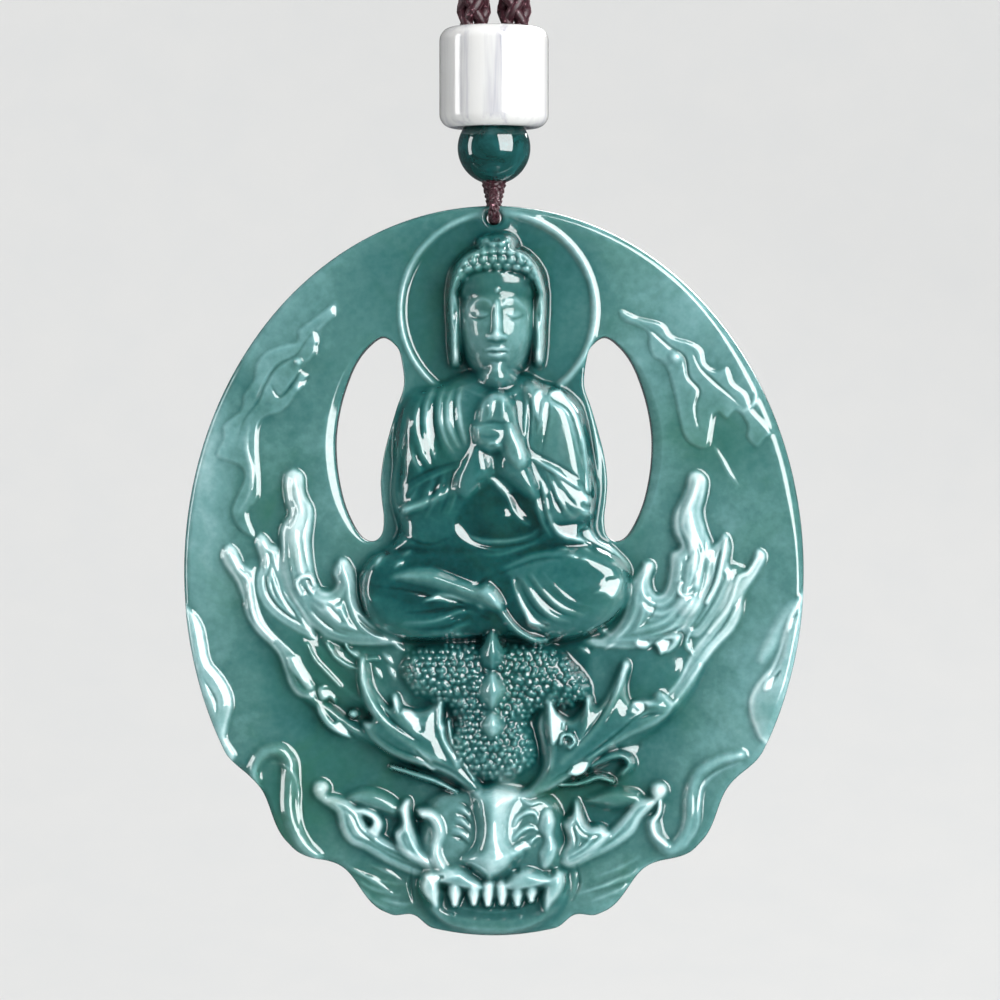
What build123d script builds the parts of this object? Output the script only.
"""Carved jade pendant on a braided cord, in millimetres, Z up, hanging below its origin.

The origin is the inner top of the neck loop, where the loop lies on a neck. X runs to the right of
the pendant as it is seen, Y runs into it from the carved front, and the carving faces -Y.
"""
from build123d import *
import math
import os

import numpy as np

# Plate
PENDANT_WIDTH = 52.0
PENDANT_HEIGHT = 61.2
PLATE_THICKNESS = 4.2
EDGE_ROUND = 1.1
RELIEF_DEPTH = 5.4

# Halo behind the head: a thin raised rim
HALO_RADIUS = 8.5
HALO_RIM_WIDTH = 0.9
HALO_RISE = 0.5
HALO_UP_SHARE = 0.712

# The relief dies out towards the cord hole between these distances from its centre.
BARE_RADIUS = 1.25
CARVED_RADIUS = 2.4

# Head, by its rough size and its own proportions
HEAD_HEIGHT = 12.0
HEAD_WIDTH = 7.9
HEAD_TOP_SHARE = 0.93

# Cord hole and the loop through it
STRAND_DIAMETER = 0.95
HOLE_CLEARANCE = 0.145
BRIDGE_HEIGHT = 0.36
LOOP_REACH_CLEARANCE = 1.1
LOOP_FOLD_RADIUS = 0.6

# Beads
ROUND_BEAD_DIAMETER = 6.14
BEAD_ABOVE_HOLE = 5.95
BARREL_DIAMETER = 9.2
BARREL_HEIGHT = 8.48
BARREL_BORE = 5.6
BARREL_EDGE_ROUND = 1.15
MOUTH_ROUND = 0.3
SEAT_CLEARANCE = 0.19
BORE_CLEARANCE = 0.12

# Knots of the thin cord, below and above the round bead
KNOT_WIDTH_TOP = 2.7
KNOT_WIDTH_BOTTOM = 1.8
KNOT_HEIGHT = 1.05
PLUG_HEIGHT = 1.7
PIECE_GAP = 0.1
PLUG_GAP = 0.25

# Braided neck cord
NECK_CORD_DIAMETER = 3.0
CORD_END_DIAMETER = 1.9
CORD_END_OFFSET = 1.7
CORD_TAPER = 1.9

# The neck loop's route above the barrel bead, right half: across and up, in millimetres
NECK_ROUTE = (
    (6.0, 32.0),
    (15.0, 68.0),
    (28.5, 119.0),
    (43.0, 171.0),
    (56.0, 214.0),
    (60.5, 237.0),
    (57.0, 258.0),
    (45.0, 276.0),
    (24.0, 287.0),
)
NECK_ROUTE_TOP = 290.0
NECK_FIRST_RUN = 14.0
ARC_SHARE = 0.45

# Carving grid
CELL = 0.68
SNAP_SHARE = 0.36
MARGIN_CELLS = 2
FLAT_TOLERANCE = 1e-9

HALF_WIDTH = PENDANT_WIDTH / 2
HALF_HEIGHT = PENDANT_HEIGHT / 2
FRONT = -PLATE_THICKNESS / 2
BACK = PLATE_THICKNESS / 2
HOLE_RADIUS = STRAND_DIAMETER / 2 + HOLE_CLEARANCE
HOLE_BELOW_TOP = BRIDGE_HEIGHT + HOLE_RADIUS

# Dents of the lower outline: place in degrees from straight down, half span in degrees, depth as a
# share of the plate's half width. Each is cut on both sides.
DENTS = (
    (47.0, 9.5, 0.042),
    (27.0, 9.0, 0.058),
    (13.2, 3.6, 0.024),
)

# Pierced window, from the top down: up as a share of the half height, then the outer and the inner
# side as shares of the half width. The other window is its mirror.
WINDOW = (
    (0.641, 0.362, 0.349),
    (0.624, 0.388, 0.326),
    (0.605, 0.414, 0.310),
    (0.572, 0.439, 0.297),
    (0.539, 0.459, 0.281),
    (0.506, 0.475, 0.294),
    (0.440, 0.501, 0.320),
    (0.374, 0.511, 0.336),
    (0.309, 0.511, 0.355),
    (0.243, 0.501, 0.368),
    (0.177, 0.478, 0.362),
    (0.111, 0.446, 0.352),
    (0.089, 0.426, 0.365),
    (0.081, 0.405, 0.385),
)

# Rounded forms: across and half width as shares of the plate's half width, up and half height as
# shares of its half height, tilt in degrees, foot and rise as shares of the relief's depth, and
# whether the form is mirrored on the other side.
MOUNDS = (
    ("torso", 0.000, 0.290, 0.360, 0.300, 0, 0.25, 0.74, False),
    ("chest", 0.000, 0.400, 0.250, 0.170, 0, 0.30, 0.80, False),
    ("belly", 0.010, 0.171, 0.110, 0.095, 0, 0.30, 0.88, False),
    ("neck", 0.010, 0.530, 0.085, 0.060, 0, 0.30, 0.72, False),
    ("lap", 0.000, 0.020, 0.340, 0.070, 0, 0.25, 0.72, False),
    ("knee", 0.250, -0.055, 0.205, 0.112, 8, 0.20, 0.84, True),
    ("hands", -0.006, 0.385, 0.072, 0.110, 0, 0.60, 1.00, False),
    ("foot", 0.003, -0.053, 0.040, 0.042, 0, 0.50, 0.90, False),
    ("pedestal lobe", 0.165, -0.270, 0.145, 0.105, 0, 0.20, 0.62, True),
    ("pedestal middle", 0.000, -0.300, 0.150, 0.130, 0, 0.20, 0.64, False),
    ("pedestal bulb", 0.000, -0.457, 0.150, 0.130, 0, 0.20, 0.66, False),
    ("top gem", 0.000, -0.222, 0.042, 0.056, 0, 0.55, 0.80, False),
    ("middle gem", 0.000, -0.325, 0.055, 0.058, 0, 0.55, 0.84, False),
    ("lower gem", 0.000, -0.415, 0.044, 0.040, 0, 0.55, 0.80, False),
    ("beast brow", 0.000, -0.625, 0.110, 0.070, 0, 0.15, 0.70, False),
    ("beast snout", 0.000, -0.800, 0.110, 0.075, 0, 0.30, 0.92, False),
    ("beast eye", 0.107, -0.712, 0.055, 0.048, 0, 0.30, 0.74, True),
    ("beast cheek", 0.225, -0.775, 0.115, 0.085, -20, 0.10, 0.60, True),
    ("beast tuft", 0.330, -0.680, 0.095, 0.075, 25, 0.10, 0.46, True),
    ("flame root", 0.400, -0.240, 0.150, 0.075, -22, 0.05, 0.42, True),
    ("branch root", 0.270, -0.480, 0.130, 0.070, -30, 0.05, 0.50, True),
)

# Long forms: points as shares of the half width and half height, half widths at both ends as
# shares of the half width, rises at both ends as shares of the relief's depth, and mirroring.
RIDGES = (
    ("nose", ((0.000, -0.600), (0.000, -0.830)), 0.065, 0.085, 0.74, 0.94, False),
    ("upper arm", ((0.205, 0.480), (0.300, 0.330), (0.300, 0.180)), 0.070, 0.085, 0.66, 0.70, True),
    ("forearm", ((0.285, 0.150), (0.174, 0.210), (0.052, 0.300)), 0.085, 0.055, 0.74, 0.94, True),
    ("shin", ((-0.320, 0.000), (-0.140, -0.030), (0.015, -0.090)), 0.075, 0.065, 0.80, 0.92, False),
    ("drape", ((0.058, -0.026), (0.084, -0.140), (0.170, -0.170)), 0.045, 0.055, 0.86, 0.74, False),
    ("tall flame", ((0.650, 0.265), (0.633, 0.139), (0.625, 0.030), (0.570, -0.120), (0.440, -0.215)),
     0.022, 0.105, 0.26, 0.46, True),
    ("second flame", ((0.750, 0.090), (0.717, -0.050), (0.627, -0.190)), 0.020, 0.090, 0.24, 0.44, True),
    ("outer flame", ((0.856, 0.060), (0.820, -0.060), (0.750, -0.190), (0.627, -0.330)),
     0.020, 0.070, 0.24, 0.38, True),
    ("flame knob", ((0.488, 0.020), (0.465, -0.050), (0.385, -0.170)), 0.034, 0.060, 0.36, 0.46, True),
    ("flame band", ((0.627, -0.220), (0.480, -0.350), (0.305, -0.480)), 0.050, 0.060, 0.30, 0.40, True),
    ("branch blade", ((0.420, -0.238), (0.395, -0.350), (0.270, -0.450), (0.140, -0.525), (0.020, -0.590)),
     0.018, 0.060, 0.36, 0.62, True),
    ("outer tine", ((0.317, -0.342), (0.278, -0.424)), 0.018, 0.045, 0.44, 0.56, True),
    ("middle tine", ((0.180, -0.350), (0.194, -0.450)), 0.018, 0.040, 0.52, 0.60, True),
    ("inner tine", ((0.150, -0.405), (0.155, -0.520)), 0.016, 0.035, 0.56, 0.66, True),
    ("edge scroll", ((0.970, -0.114), (0.925, -0.190), (0.868, -0.300), (0.850, -0.455)),
     0.024, 0.040, 0.10, 0.16, True),
    ("corner curl", ((0.745, -0.520), (0.675, -0.561), (0.640, -0.630), (0.611, -0.725)),
     0.030, 0.034, 0.14, 0.20, True),
    ("outer cloud", ((0.507, 0.737), (0.633, 0.646), (0.730, 0.605), (0.810, 0.484), (0.870, 0.374)),
     0.020, 0.040, 0.10, 0.12, True),
    ("inner cloud", ((0.523, 0.693), (0.578, 0.550), (0.672, 0.438), (0.759, 0.340), (0.770, 0.086)),
     0.020, 0.034, 0.10, 0.10, True),
    ("whisker", ((0.553, -0.600), (0.514, -0.665), (0.465, -0.734), (0.355, -0.790), (0.275, -0.816)),
     0.026, 0.030, 0.30, 0.40, True),
    ("horn", ((0.262, -0.632), (0.265, -0.726)), 0.016, 0.040, 0.50, 0.56, True),
    ("upper lip", ((-0.180, -0.864), (0.000, -0.874), (0.180, -0.864)), 0.030, 0.030, 0.78, 0.78, False),
    ("fang", ((0.220, -0.836), (0.196, -0.915)), 0.030, 0.012, 0.66, 0.60, True),
    ("lower lip", ((-0.200, -0.930), (-0.126, -0.962), (0.000, -0.972), (0.126, -0.962), (0.200, -0.930)),
     0.026, 0.026, 0.50, 0.50, False),
)

# Teeth between the fangs: count, half spread and size as shares, rise as a share of the depth.
TEETH_COUNT = 6
TEETH_SPREAD = 0.125
TOOTH_HALF_WIDTH = 0.020
TOOTH_TOP = -0.878
TOOTH_TIP = -0.912
TOOTH_RISE = 0.66

# The head's own forms: across and up from the head's centre, half width and half height, all as
# shares of the head's width and height, then foot and rise as shares of the relief's depth.
HEAD_FORMS = (
    ("skull", 0.00, 0.06, 0.50, 0.36, 0.45, 0.92, False),
    ("face", 0.00, -0.12, 0.41, 0.37, 0.45, 0.96, False),
    ("hair knot", 0.00, 0.40, 0.25, 0.11, 0.40, 0.84, False),
    ("ear", 0.49, -0.13, 0.08, 0.19, 0.35, 0.66, True),
    ("nose", 0.00, -0.12, 0.08, 0.10, 0.90, 1.04, False),
    ("chin", 0.00, -0.40, 0.13, 0.07, 0.60, 0.92, False),
    ("lips", 0.00, -0.29, 0.15, 0.035, 0.90, 0.98, False),
    ("cheek", 0.20, -0.18, 0.17, 0.13, 0.60, 0.92, True),
)


def outline_radius(angle):
    """Distance from the plate's centre to its edge, at an angle in radians from straight down."""
    ellipse = 1 / np.sqrt((np.sin(angle) / HALF_WIDTH) ** 2 + (np.cos(angle) / HALF_HEIGHT) ** 2)
    for place, half_span, depth in DENTS:
        turn = (np.abs(np.degrees(angle)) - place) / half_span
        ellipse -= np.where(np.abs(turn) < 1, depth * HALF_WIDTH * np.cos(turn * math.pi / 2) ** 2, 0)
    return ellipse


def window_corners():
    """Corners of the right window, once round."""
    outer = [(side * HALF_WIDTH, up * HALF_HEIGHT) for up, side, _ in WINDOW]
    inner = [(side * HALF_WIDTH, up * HALF_HEIGHT) for up, _, side in reversed(WINDOW)]
    return np.array(outer + inner)


def distance_to_polygon(x, z, corners):
    """Distance to a closed polygon, positive outside it."""
    best = np.full(x.shape, np.inf)
    inside = np.zeros(x.shape, dtype=bool)
    for (ax, az), (bx, bz) in zip(corners, np.roll(corners, -1, axis=0)):
        length_squared = (bx - ax) ** 2 + (bz - az) ** 2
        along = np.clip(((x - ax) * (bx - ax) + (z - az) * (bz - az)) / length_squared, 0, 1)
        best = np.minimum(best, np.hypot(x - ax - along * (bx - ax), z - az - along * (bz - az)))
        crosses = (az > z) != (bz > z)
        rise = np.where(bz == az, 1.0, bz - az)
        inside ^= crosses & (x < ax + (z - az) * (bx - ax) / rise)
    return np.where(inside, -best, best)


def edge_distance(x, z):
    """Distance into the plate from its outer edge."""
    return outline_radius(np.arctan2(x, -z)) - np.hypot(x, z)


def stone_distance(x, z):
    """Distance into the stone from its nearest edge, negative outside the stone."""
    return np.minimum(edge_distance(x, z), distance_to_polygon(np.abs(x), z, window_corners()))


def mound(x, z, centre, half_size, tilt, foot, rise):
    """Height of a rounded form that stands on a foot."""
    turn = math.radians(tilt)
    across = (x - centre[0]) * math.cos(turn) + (z - centre[1]) * math.sin(turn)
    up = (z - centre[1]) * math.cos(turn) - (x - centre[0]) * math.sin(turn)
    share = (across / half_size[0]) ** 2 + (up / half_size[1]) ** 2
    return np.where(share < 1, foot + (rise - foot) * np.sqrt(np.clip(1 - share, 0, 1)), 0)


def ridge(x, z, points, widths, rises):
    """Height of a round-backed form that follows a line of points."""
    height = np.zeros(x.shape)
    spans = len(points) - 1
    for index in range(spans):
        (ax, az), (bx, bz) = points[index], points[index + 1]
        length_squared = (bx - ax) ** 2 + (bz - az) ** 2
        along = np.clip(((x - ax) * (bx - ax) + (z - az) * (bz - az)) / length_squared, 0, 1)
        share = (index + along) / spans
        half_width = widths[0] + (widths[1] - widths[0]) * share
        rise = rises[0] + (rises[1] - rises[0]) * share
        away = np.hypot(x - ax - along * (bx - ax), z - az - along * (bz - az)) / half_width
        height = np.maximum(height, np.where(away < 1, rise * np.sqrt(np.clip(1 - away ** 2, 0, 1)), 0))
    return height


def sides(mirrored):
    """The sides on which a form is carved."""
    return (1, -1) if mirrored else (1,)


def head_relief(x, z):
    """Height of the head's forms."""
    centre_up = HEAD_TOP_SHARE * HALF_HEIGHT - HEAD_HEIGHT / 2
    height = np.zeros(x.shape)
    for _, across, up, half_width, half_height, foot, rise, mirrored in HEAD_FORMS:
        for side in sides(mirrored):
            centre = (side * across * HEAD_WIDTH, centre_up + up * HEAD_HEIGHT)
            half_size = (half_width * HEAD_WIDTH, half_height * HEAD_HEIGHT)
            form = mound(x, z, centre, half_size, 0, foot * RELIEF_DEPTH, rise * RELIEF_DEPTH)
            height = np.maximum(height, form)
    return height


def teeth_relief(x, z):
    """Height of the row of small teeth."""
    height = np.zeros(x.shape)
    for index in range(TEETH_COUNT):
        across = TEETH_SPREAD * (2 * index / (TEETH_COUNT - 1) - 1) * HALF_WIDTH
        points = ((across, TOOTH_TOP * HALF_HEIGHT), (across, TOOTH_TIP * HALF_HEIGHT))
        widths = (TOOTH_HALF_WIDTH * HALF_WIDTH, TOOTH_HALF_WIDTH * HALF_WIDTH / 2)
        rises = (TOOTH_RISE * RELIEF_DEPTH, TOOTH_RISE * RELIEF_DEPTH)
        height = np.maximum(height, ridge(x, z, points, widths, rises))
    return height


def halo_relief(x, z):
    """Height of the halo's thin rim."""
    away = np.abs(np.hypot(x, z - HALO_UP_SHARE * HALF_HEIGHT) - HALO_RADIUS) / (HALO_RIM_WIDTH / 2)
    return np.where(away < 1, HALO_RISE * np.sqrt(np.clip(1 - away ** 2, 0, 1)), 0)


def relief(x, z):
    """Height of the carving above the plate's front."""
    height = np.maximum(np.maximum(head_relief(x, z), teeth_relief(x, z)), halo_relief(x, z))
    for _, across, up, half_width, half_height, tilt, foot, rise, mirrored in MOUNDS:
        for side in sides(mirrored):
            centre = (side * across * HALF_WIDTH, up * HALF_HEIGHT)
            half_size = (half_width * HALF_WIDTH, half_height * HALF_HEIGHT)
            form = mound(x, z, centre, half_size, side * tilt, foot * RELIEF_DEPTH, rise * RELIEF_DEPTH)
            height = np.maximum(height, form)
    for _, route, start_width, end_width, start_rise, end_rise, mirrored in RIDGES:
        for side in sides(mirrored):
            points = [(side * across * HALF_WIDTH, up * HALF_HEIGHT) for across, up in route]
            widths = (start_width * HALF_WIDTH, end_width * HALF_WIDTH)
            rises = (start_rise * RELIEF_DEPTH, end_rise * RELIEF_DEPTH)
            height = np.maximum(height, ridge(x, z, points, widths, rises))
    from_hole = np.hypot(x, z - (HALF_HEIGHT - HOLE_BELOW_TOP))
    return height * np.clip((from_hole - BARE_RADIUS) / (CARVED_RADIUS - BARE_RADIUS), 0, 1)


def edge_fall(x, z):
    """How far the rounded edge falls back from the plate's face."""
    inward = np.clip(stone_distance(x, z), 0, EDGE_ROUND)
    return EDGE_ROUND - np.sqrt(np.clip(EDGE_ROUND ** 2 - (EDGE_ROUND - inward) ** 2, 0, None))


def front_depth(x, z):
    """Y of the carved front: the plate's face, its rounded edge and the relief on it."""
    return FRONT + edge_fall(x, z) - relief(x, z)


def back_depth(x, z):
    """Y of the plain back: the plate's face and its rounded edge."""
    return BACK - edge_fall(x, z)


def snap_to_edges(x, z):
    """Moves grid points that lie near an edge of the stone onto it."""
    step = CELL / 100
    value = stone_distance(x, z)
    near = np.abs(value) < SNAP_SHARE * CELL
    for _ in range(3):
        value = stone_distance(x, z)
        slope_x = (stone_distance(x + step, z) - stone_distance(x - step, z)) / (2 * step)
        slope_z = (stone_distance(x, z + step) - stone_distance(x, z - step)) / (2 * step)
        steepness = np.maximum(slope_x ** 2 + slope_z ** 2, 0.1)
        x = np.where(near, x - value * slope_x / steepness, x)
        z = np.where(near, z - value * slope_z / steepness, z)
    return x, z, np.where(near, 0.0, stone_distance(x, z))


def cut_triangle(corners, values, crossing):
    """The part of one grid triangle that lies in the stone, as a ring of point numbers."""
    ring = []
    for index in range(3):
        after = (index + 1) % 3
        if values[index] >= 0:
            ring.append(corners[index])
        if values[index] * values[after] < 0:
            ring.append(crossing(corners[index], corners[after]))
    return ring


def carving_grid():
    """Points and triangles of the front as seen from in front, cut off at the stone's edges."""
    columns = 2 * (math.ceil(HALF_WIDTH / CELL) + MARGIN_CELLS) + 1
    rows = 2 * (math.ceil(HALF_HEIGHT / CELL) + MARGIN_CELLS) + 1
    x, z = np.meshgrid((np.arange(columns) - columns // 2) * CELL, (np.arange(rows) - rows // 2) * CELL)
    x, z, values = (grid.ravel() for grid in snap_to_edges(x, z))
    points = [(float(a), float(b)) for a, b in zip(x, z)]
    cuts = {}

    def crossing(first, second):
        key = (min(first, second), max(first, second))
        if key not in cuts:
            share = values[key[0]] / (values[key[0]] - values[key[1]])
            start, end = points[key[0]], points[key[1]]
            cuts[key] = len(points)
            points.append((start[0] + share * (end[0] - start[0]), start[1] + share * (end[1] - start[1])))
        return cuts[key]

    triangles = []
    for row in range(rows - 1):
        for column in range(columns - 1):
            a = row * columns + column
            b, c, d = a + 1, a + columns + 1, a + columns
            halves = ((a, b, c), (a, c, d)) if (row + column) % 2 else ((a, b, d), (b, c, d))
            for corners in halves:
                signs = [values[corner] for corner in corners]
                if max(signs) <= 0:
                    continue
                ring = cut_triangle(corners, signs, crossing)
                triangles += [(ring[0], ring[k], ring[k + 1]) for k in range(1, len(ring) - 1)]
    return points, triangles


def edge_loops(triangles):
    """Closed loops of the edges that only one triangle has."""
    owned = set()
    for a, b, c in triangles:
        owned.update(((a, b), (b, c), (c, a)))
    following = {}
    for start, end in owned:
        if (end, start) not in owned:
            following.setdefault(start, []).append(end)
    loops = []
    while following:
        start = next(iter(following))
        loop = [start]
        while True:
            choices = following[loop[-1]]
            step = choices.pop()
            if not choices:
                del following[loop[-1]]
            if step == start:
                break
            loop.append(step)
        loops.append(loop)
    return loops


def loop_area(loop, points):
    """Signed area of a loop, positive when it runs round its own face."""
    ring = np.array([points[index] for index in loop])
    after = np.roll(ring, -1, axis=0)
    return float(np.sum(ring[:, 0] * after[:, 1] - after[:, 0] * ring[:, 1]) / 2)


def joined_regions(triangles):
    """Groups of triangles that meet at their edges."""
    by_edge = {}
    for index, (a, b, c) in enumerate(triangles):
        for edge in ((a, b), (b, c), (c, a)):
            by_edge.setdefault(frozenset(edge), []).append(index)
    group = list(range(len(triangles)))

    def leader(index):
        while group[index] != index:
            group[index] = group[group[index]]
            index = group[index]
        return index

    for members in by_edge.values():
        for member in members[1:]:
            group[leader(member)] = leader(members[0])
    regions = {}
    for index, triangle in enumerate(triangles):
        regions.setdefault(leader(index), []).append(triangle)
    return list(regions.values())


def flat_face(triangles, points, depth):
    """One flat face in place of the triangles of a flat region, with the gaps in it."""
    rings = sorted(edge_loops(triangles), key=lambda loop: -loop_area(loop, points))
    wires = [
        Wire.make_polygon([Vector(points[k][0], depth, points[k][1]) for k in loop], close=True)
        for loop in rings
    ]
    return Face(wires[0], wires[1:])


def corner_face(corners):
    """A flat face with straight sides."""
    return Face(Wire.make_polygon(corners, close=True))


def skin_faces(points, triangles, depths, level):
    """Faces of one side of the stone: a triangle each, and one face for each flat region."""
    flat = np.abs(depths - level) < FLAT_TOLERANCE
    plain = [triangle for triangle in triangles if all(flat[k] for k in triangle)]
    shaped = [triangle for triangle in triangles if not all(flat[k] for k in triangle)]
    faces = []
    for region in joined_regions(plain):
        if any(len(set(loop)) != len(loop) for loop in edge_loops(region)):
            shaped += region
        else:
            faces.append(flat_face(region, points, level))
    for triangle in shaped:
        faces.append(corner_face([Vector(points[k][0], float(depths[k]), points[k][1]) for k in triangle]))
    return faces


def make_jade_pendant():
    """The carved stone in one piece, with its centre at the origin."""
    points, triangles = carving_grid()
    across, up = np.array(points).T
    front, back = front_depth(across, up), back_depth(across, up)
    faces = skin_faces(points, triangles, front, FRONT) + skin_faces(points, triangles, back, BACK)
    for loop in edge_loops(triangles):
        for start, end in zip(loop, loop[1:] + loop[:1]):
            wall = ((start, front), (start, back), (end, back), (end, front))
            faces.append(corner_face([Vector(points[k][0], float(side[k]), points[k][1]) for k, side in wall]))
    stone = Solid(Shell(faces))
    hole_up = HALF_HEIGHT - HOLE_BELOW_TOP
    reach = 2 * (PLATE_THICKNESS + RELIEF_DEPTH)
    drill = Pos(0, 0, hole_up) * Rot(90, 0, 0) * Cylinder(HOLE_RADIUS, reach)
    print("faces of the stone", len(faces))
    return stone - drill


def make_round_bead():
    """Round bead, bored for the two runs of the thin cord, about its own centre."""
    bore = STRAND_DIAMETER + PIECE_GAP / 2 + BORE_CLEARANCE
    return Sphere(ROUND_BEAD_DIAMETER / 2) - Cylinder(bore, 2 * ROUND_BEAD_DIAMETER)


def make_barrel_bead():
    """Barrel bead about its own centre, with rounded rims and mouths."""
    body = Cylinder(BARREL_DIAMETER / 2, BARREL_HEIGHT)
    body = fillet(body.edges(), BARREL_EDGE_ROUND)
    bead = body - Cylinder(BARREL_BORE / 2, 2 * BARREL_HEIGHT)
    mouths = bead.edges().filter_by(GeomType.CIRCLE)
    mouths = mouths.filter_by(lambda edge: abs(edge.radius - BARREL_BORE / 2) < 1e-6)
    return fillet(mouths, MOUTH_ROUND)


def make_bail_cord(bead_bottom, plug_bottom):
    """Thin cord about the hole's centre: a loop through the stone, a knot and a plug of knots."""
    run = STRAND_DIAMETER / 2 + PIECE_GAP / 2
    reach = PLATE_THICKNESS / 2 + LOOP_REACH_CLEARANCE
    knot_bottom = bead_bottom - PIECE_GAP - KNOT_HEIGHT
    bend_up = bead_bottom + PIECE_GAP
    right = [Vector(0, run, plug_bottom + PLUG_HEIGHT / 2), Vector(0, run, bend_up), Vector(0, reach, 0)]
    left = [Vector(0, -point.Y, point.Z) for point in reversed(right)]
    corners = right + left
    gentle = 2 * STRAND_DIAMETER
    route = FilletPolyline(*corners, radius=[gentle, LOOP_FOLD_RADIUS, LOOP_FOLD_RADIUS, gentle])
    strand = sweep(Plane(corners[0], z_dir=(0, 0, -1)) * Circle(STRAND_DIAMETER / 2), path=route)
    knot = Pos(0, 0, knot_bottom + KNOT_HEIGHT / 2) * Cone(
        KNOT_WIDTH_BOTTOM / 2, KNOT_WIDTH_TOP / 2, KNOT_HEIGHT
    )
    plug_radius = BARREL_BORE / 2 - BORE_CLEARANCE
    plug = Pos(0, 0, plug_bottom + PLUG_HEIGHT / 2) * Cylinder(plug_radius, PLUG_HEIGHT)
    plug = fillet(plug.edges(), MOUTH_ROUND)
    return strand + knot + plug


def neck_corners():
    """Corners of the neck loop's route above the barrel bead, from one cord end to the other."""
    right = [(CORD_END_OFFSET, CORD_TAPER), (CORD_END_OFFSET, NECK_FIRST_RUN), *NECK_ROUTE]
    left = [(-across, up) for across, up in reversed(right)]
    return [Vector(across, 0, up) for across, up in (*right, (0, NECK_ROUTE_TOP), *left)]


def corner_radii(corners):
    """Radius of the arc at each corner, as large as its shorter run allows."""
    radii = []
    for before, corner, after in zip(corners, corners[1:], corners[2:]):
        run_in, run_out = corner - before, after - corner
        turn = math.radians(run_in.get_angle(run_out))
        radii.append(ARC_SHARE * min(run_in.length, run_out.length) / math.tan(turn / 2))
    return radii


def neck_route():
    """Centre line of the neck loop above the barrel bead."""
    corners = neck_corners()
    radii = corner_radii(corners)
    print("neck cord radii", [round(radius, 1) for radius in radii])
    return FilletPolyline(*corners, radius=radii)


def make_neck_cord(route, end_depth):
    """Neck loop from the barrel bead's top, with two narrow ends that go down into the bead."""
    cord = sweep(Plane(route @ 0, z_dir=(0, 0, 1)) * Circle(NECK_CORD_DIAMETER / 2), path=route)
    print("neck cord length", round(route.length + 2 * (CORD_TAPER + end_depth), 1),
          "volume over section times length", round(
              cord.volume / (route.length * math.pi * NECK_CORD_DIAMETER ** 2 / 4), 4))
    for side in (1, -1):
        taper = Cone(CORD_END_DIAMETER / 2, NECK_CORD_DIAMETER / 2, CORD_TAPER)
        end = Cylinder(CORD_END_DIAMETER / 2, end_depth)
        cord += Pos(side * CORD_END_OFFSET, 0, CORD_TAPER / 2) * taper
        cord += Pos(side * CORD_END_OFFSET, 0, -end_depth / 2) * end
    return cord


def seat_depth():
    """How far the round bead's centre hangs below the barrel bead's lower face."""
    reach = ROUND_BEAD_DIAMETER / 2 + SEAT_CLEARANCE
    return math.sqrt(reach ** 2 - (BARREL_BORE / 2) ** 2)


def write_part(name, piece, place):
    """Moves a piece to its place and writes it to its own file."""
    moved = Pos(*place) * piece
    solids = moved.solids()
    export_step(solids[0] if len(solids) == 1 else moved, f"parts/{name}.step")
    box = moved.bounding_box()
    print(name, "solids", len(solids), "volume", round(moved.volume, 1), "box",
          [round(value, 2) for value in (*box.min, *box.max)])


def main():
    os.makedirs("parts", exist_ok=True)
    route = neck_route()
    barrel_top = NECK_CORD_DIAMETER / 2 - (route @ 0.5).Z
    barrel_bottom = barrel_top - BARREL_HEIGHT
    bead_centre = barrel_bottom - seat_depth()
    hole = bead_centre - BEAD_ABOVE_HOLE
    plate_centre = hole + HOLE_BELOW_TOP - HALF_HEIGHT
    bead_bottom = BEAD_ABOVE_HOLE - ROUND_BEAD_DIAMETER / 2
    plug_bottom = BEAD_ABOVE_HOLE + ROUND_BEAD_DIAMETER / 2 + PLUG_GAP
    cord_end_depth = barrel_top - (hole + plug_bottom + PLUG_HEIGHT + PIECE_GAP)
    print("hole centre", round(hole, 4), "barrel top", round(barrel_top, 4))
    write_part("neck_cord", make_neck_cord(route, cord_end_depth), (0, 0, barrel_top))
    write_part("barrel_bead", make_barrel_bead(), (0, 0, barrel_bottom + BARREL_HEIGHT / 2))
    write_part("round_bead", make_round_bead(), (0, 0, bead_centre))
    write_part("bail_cord", make_bail_cord(bead_bottom, plug_bottom), (0, 0, hole))
    write_part("jade_pendant", make_jade_pendant(), (0, 0, plate_centre))


main()
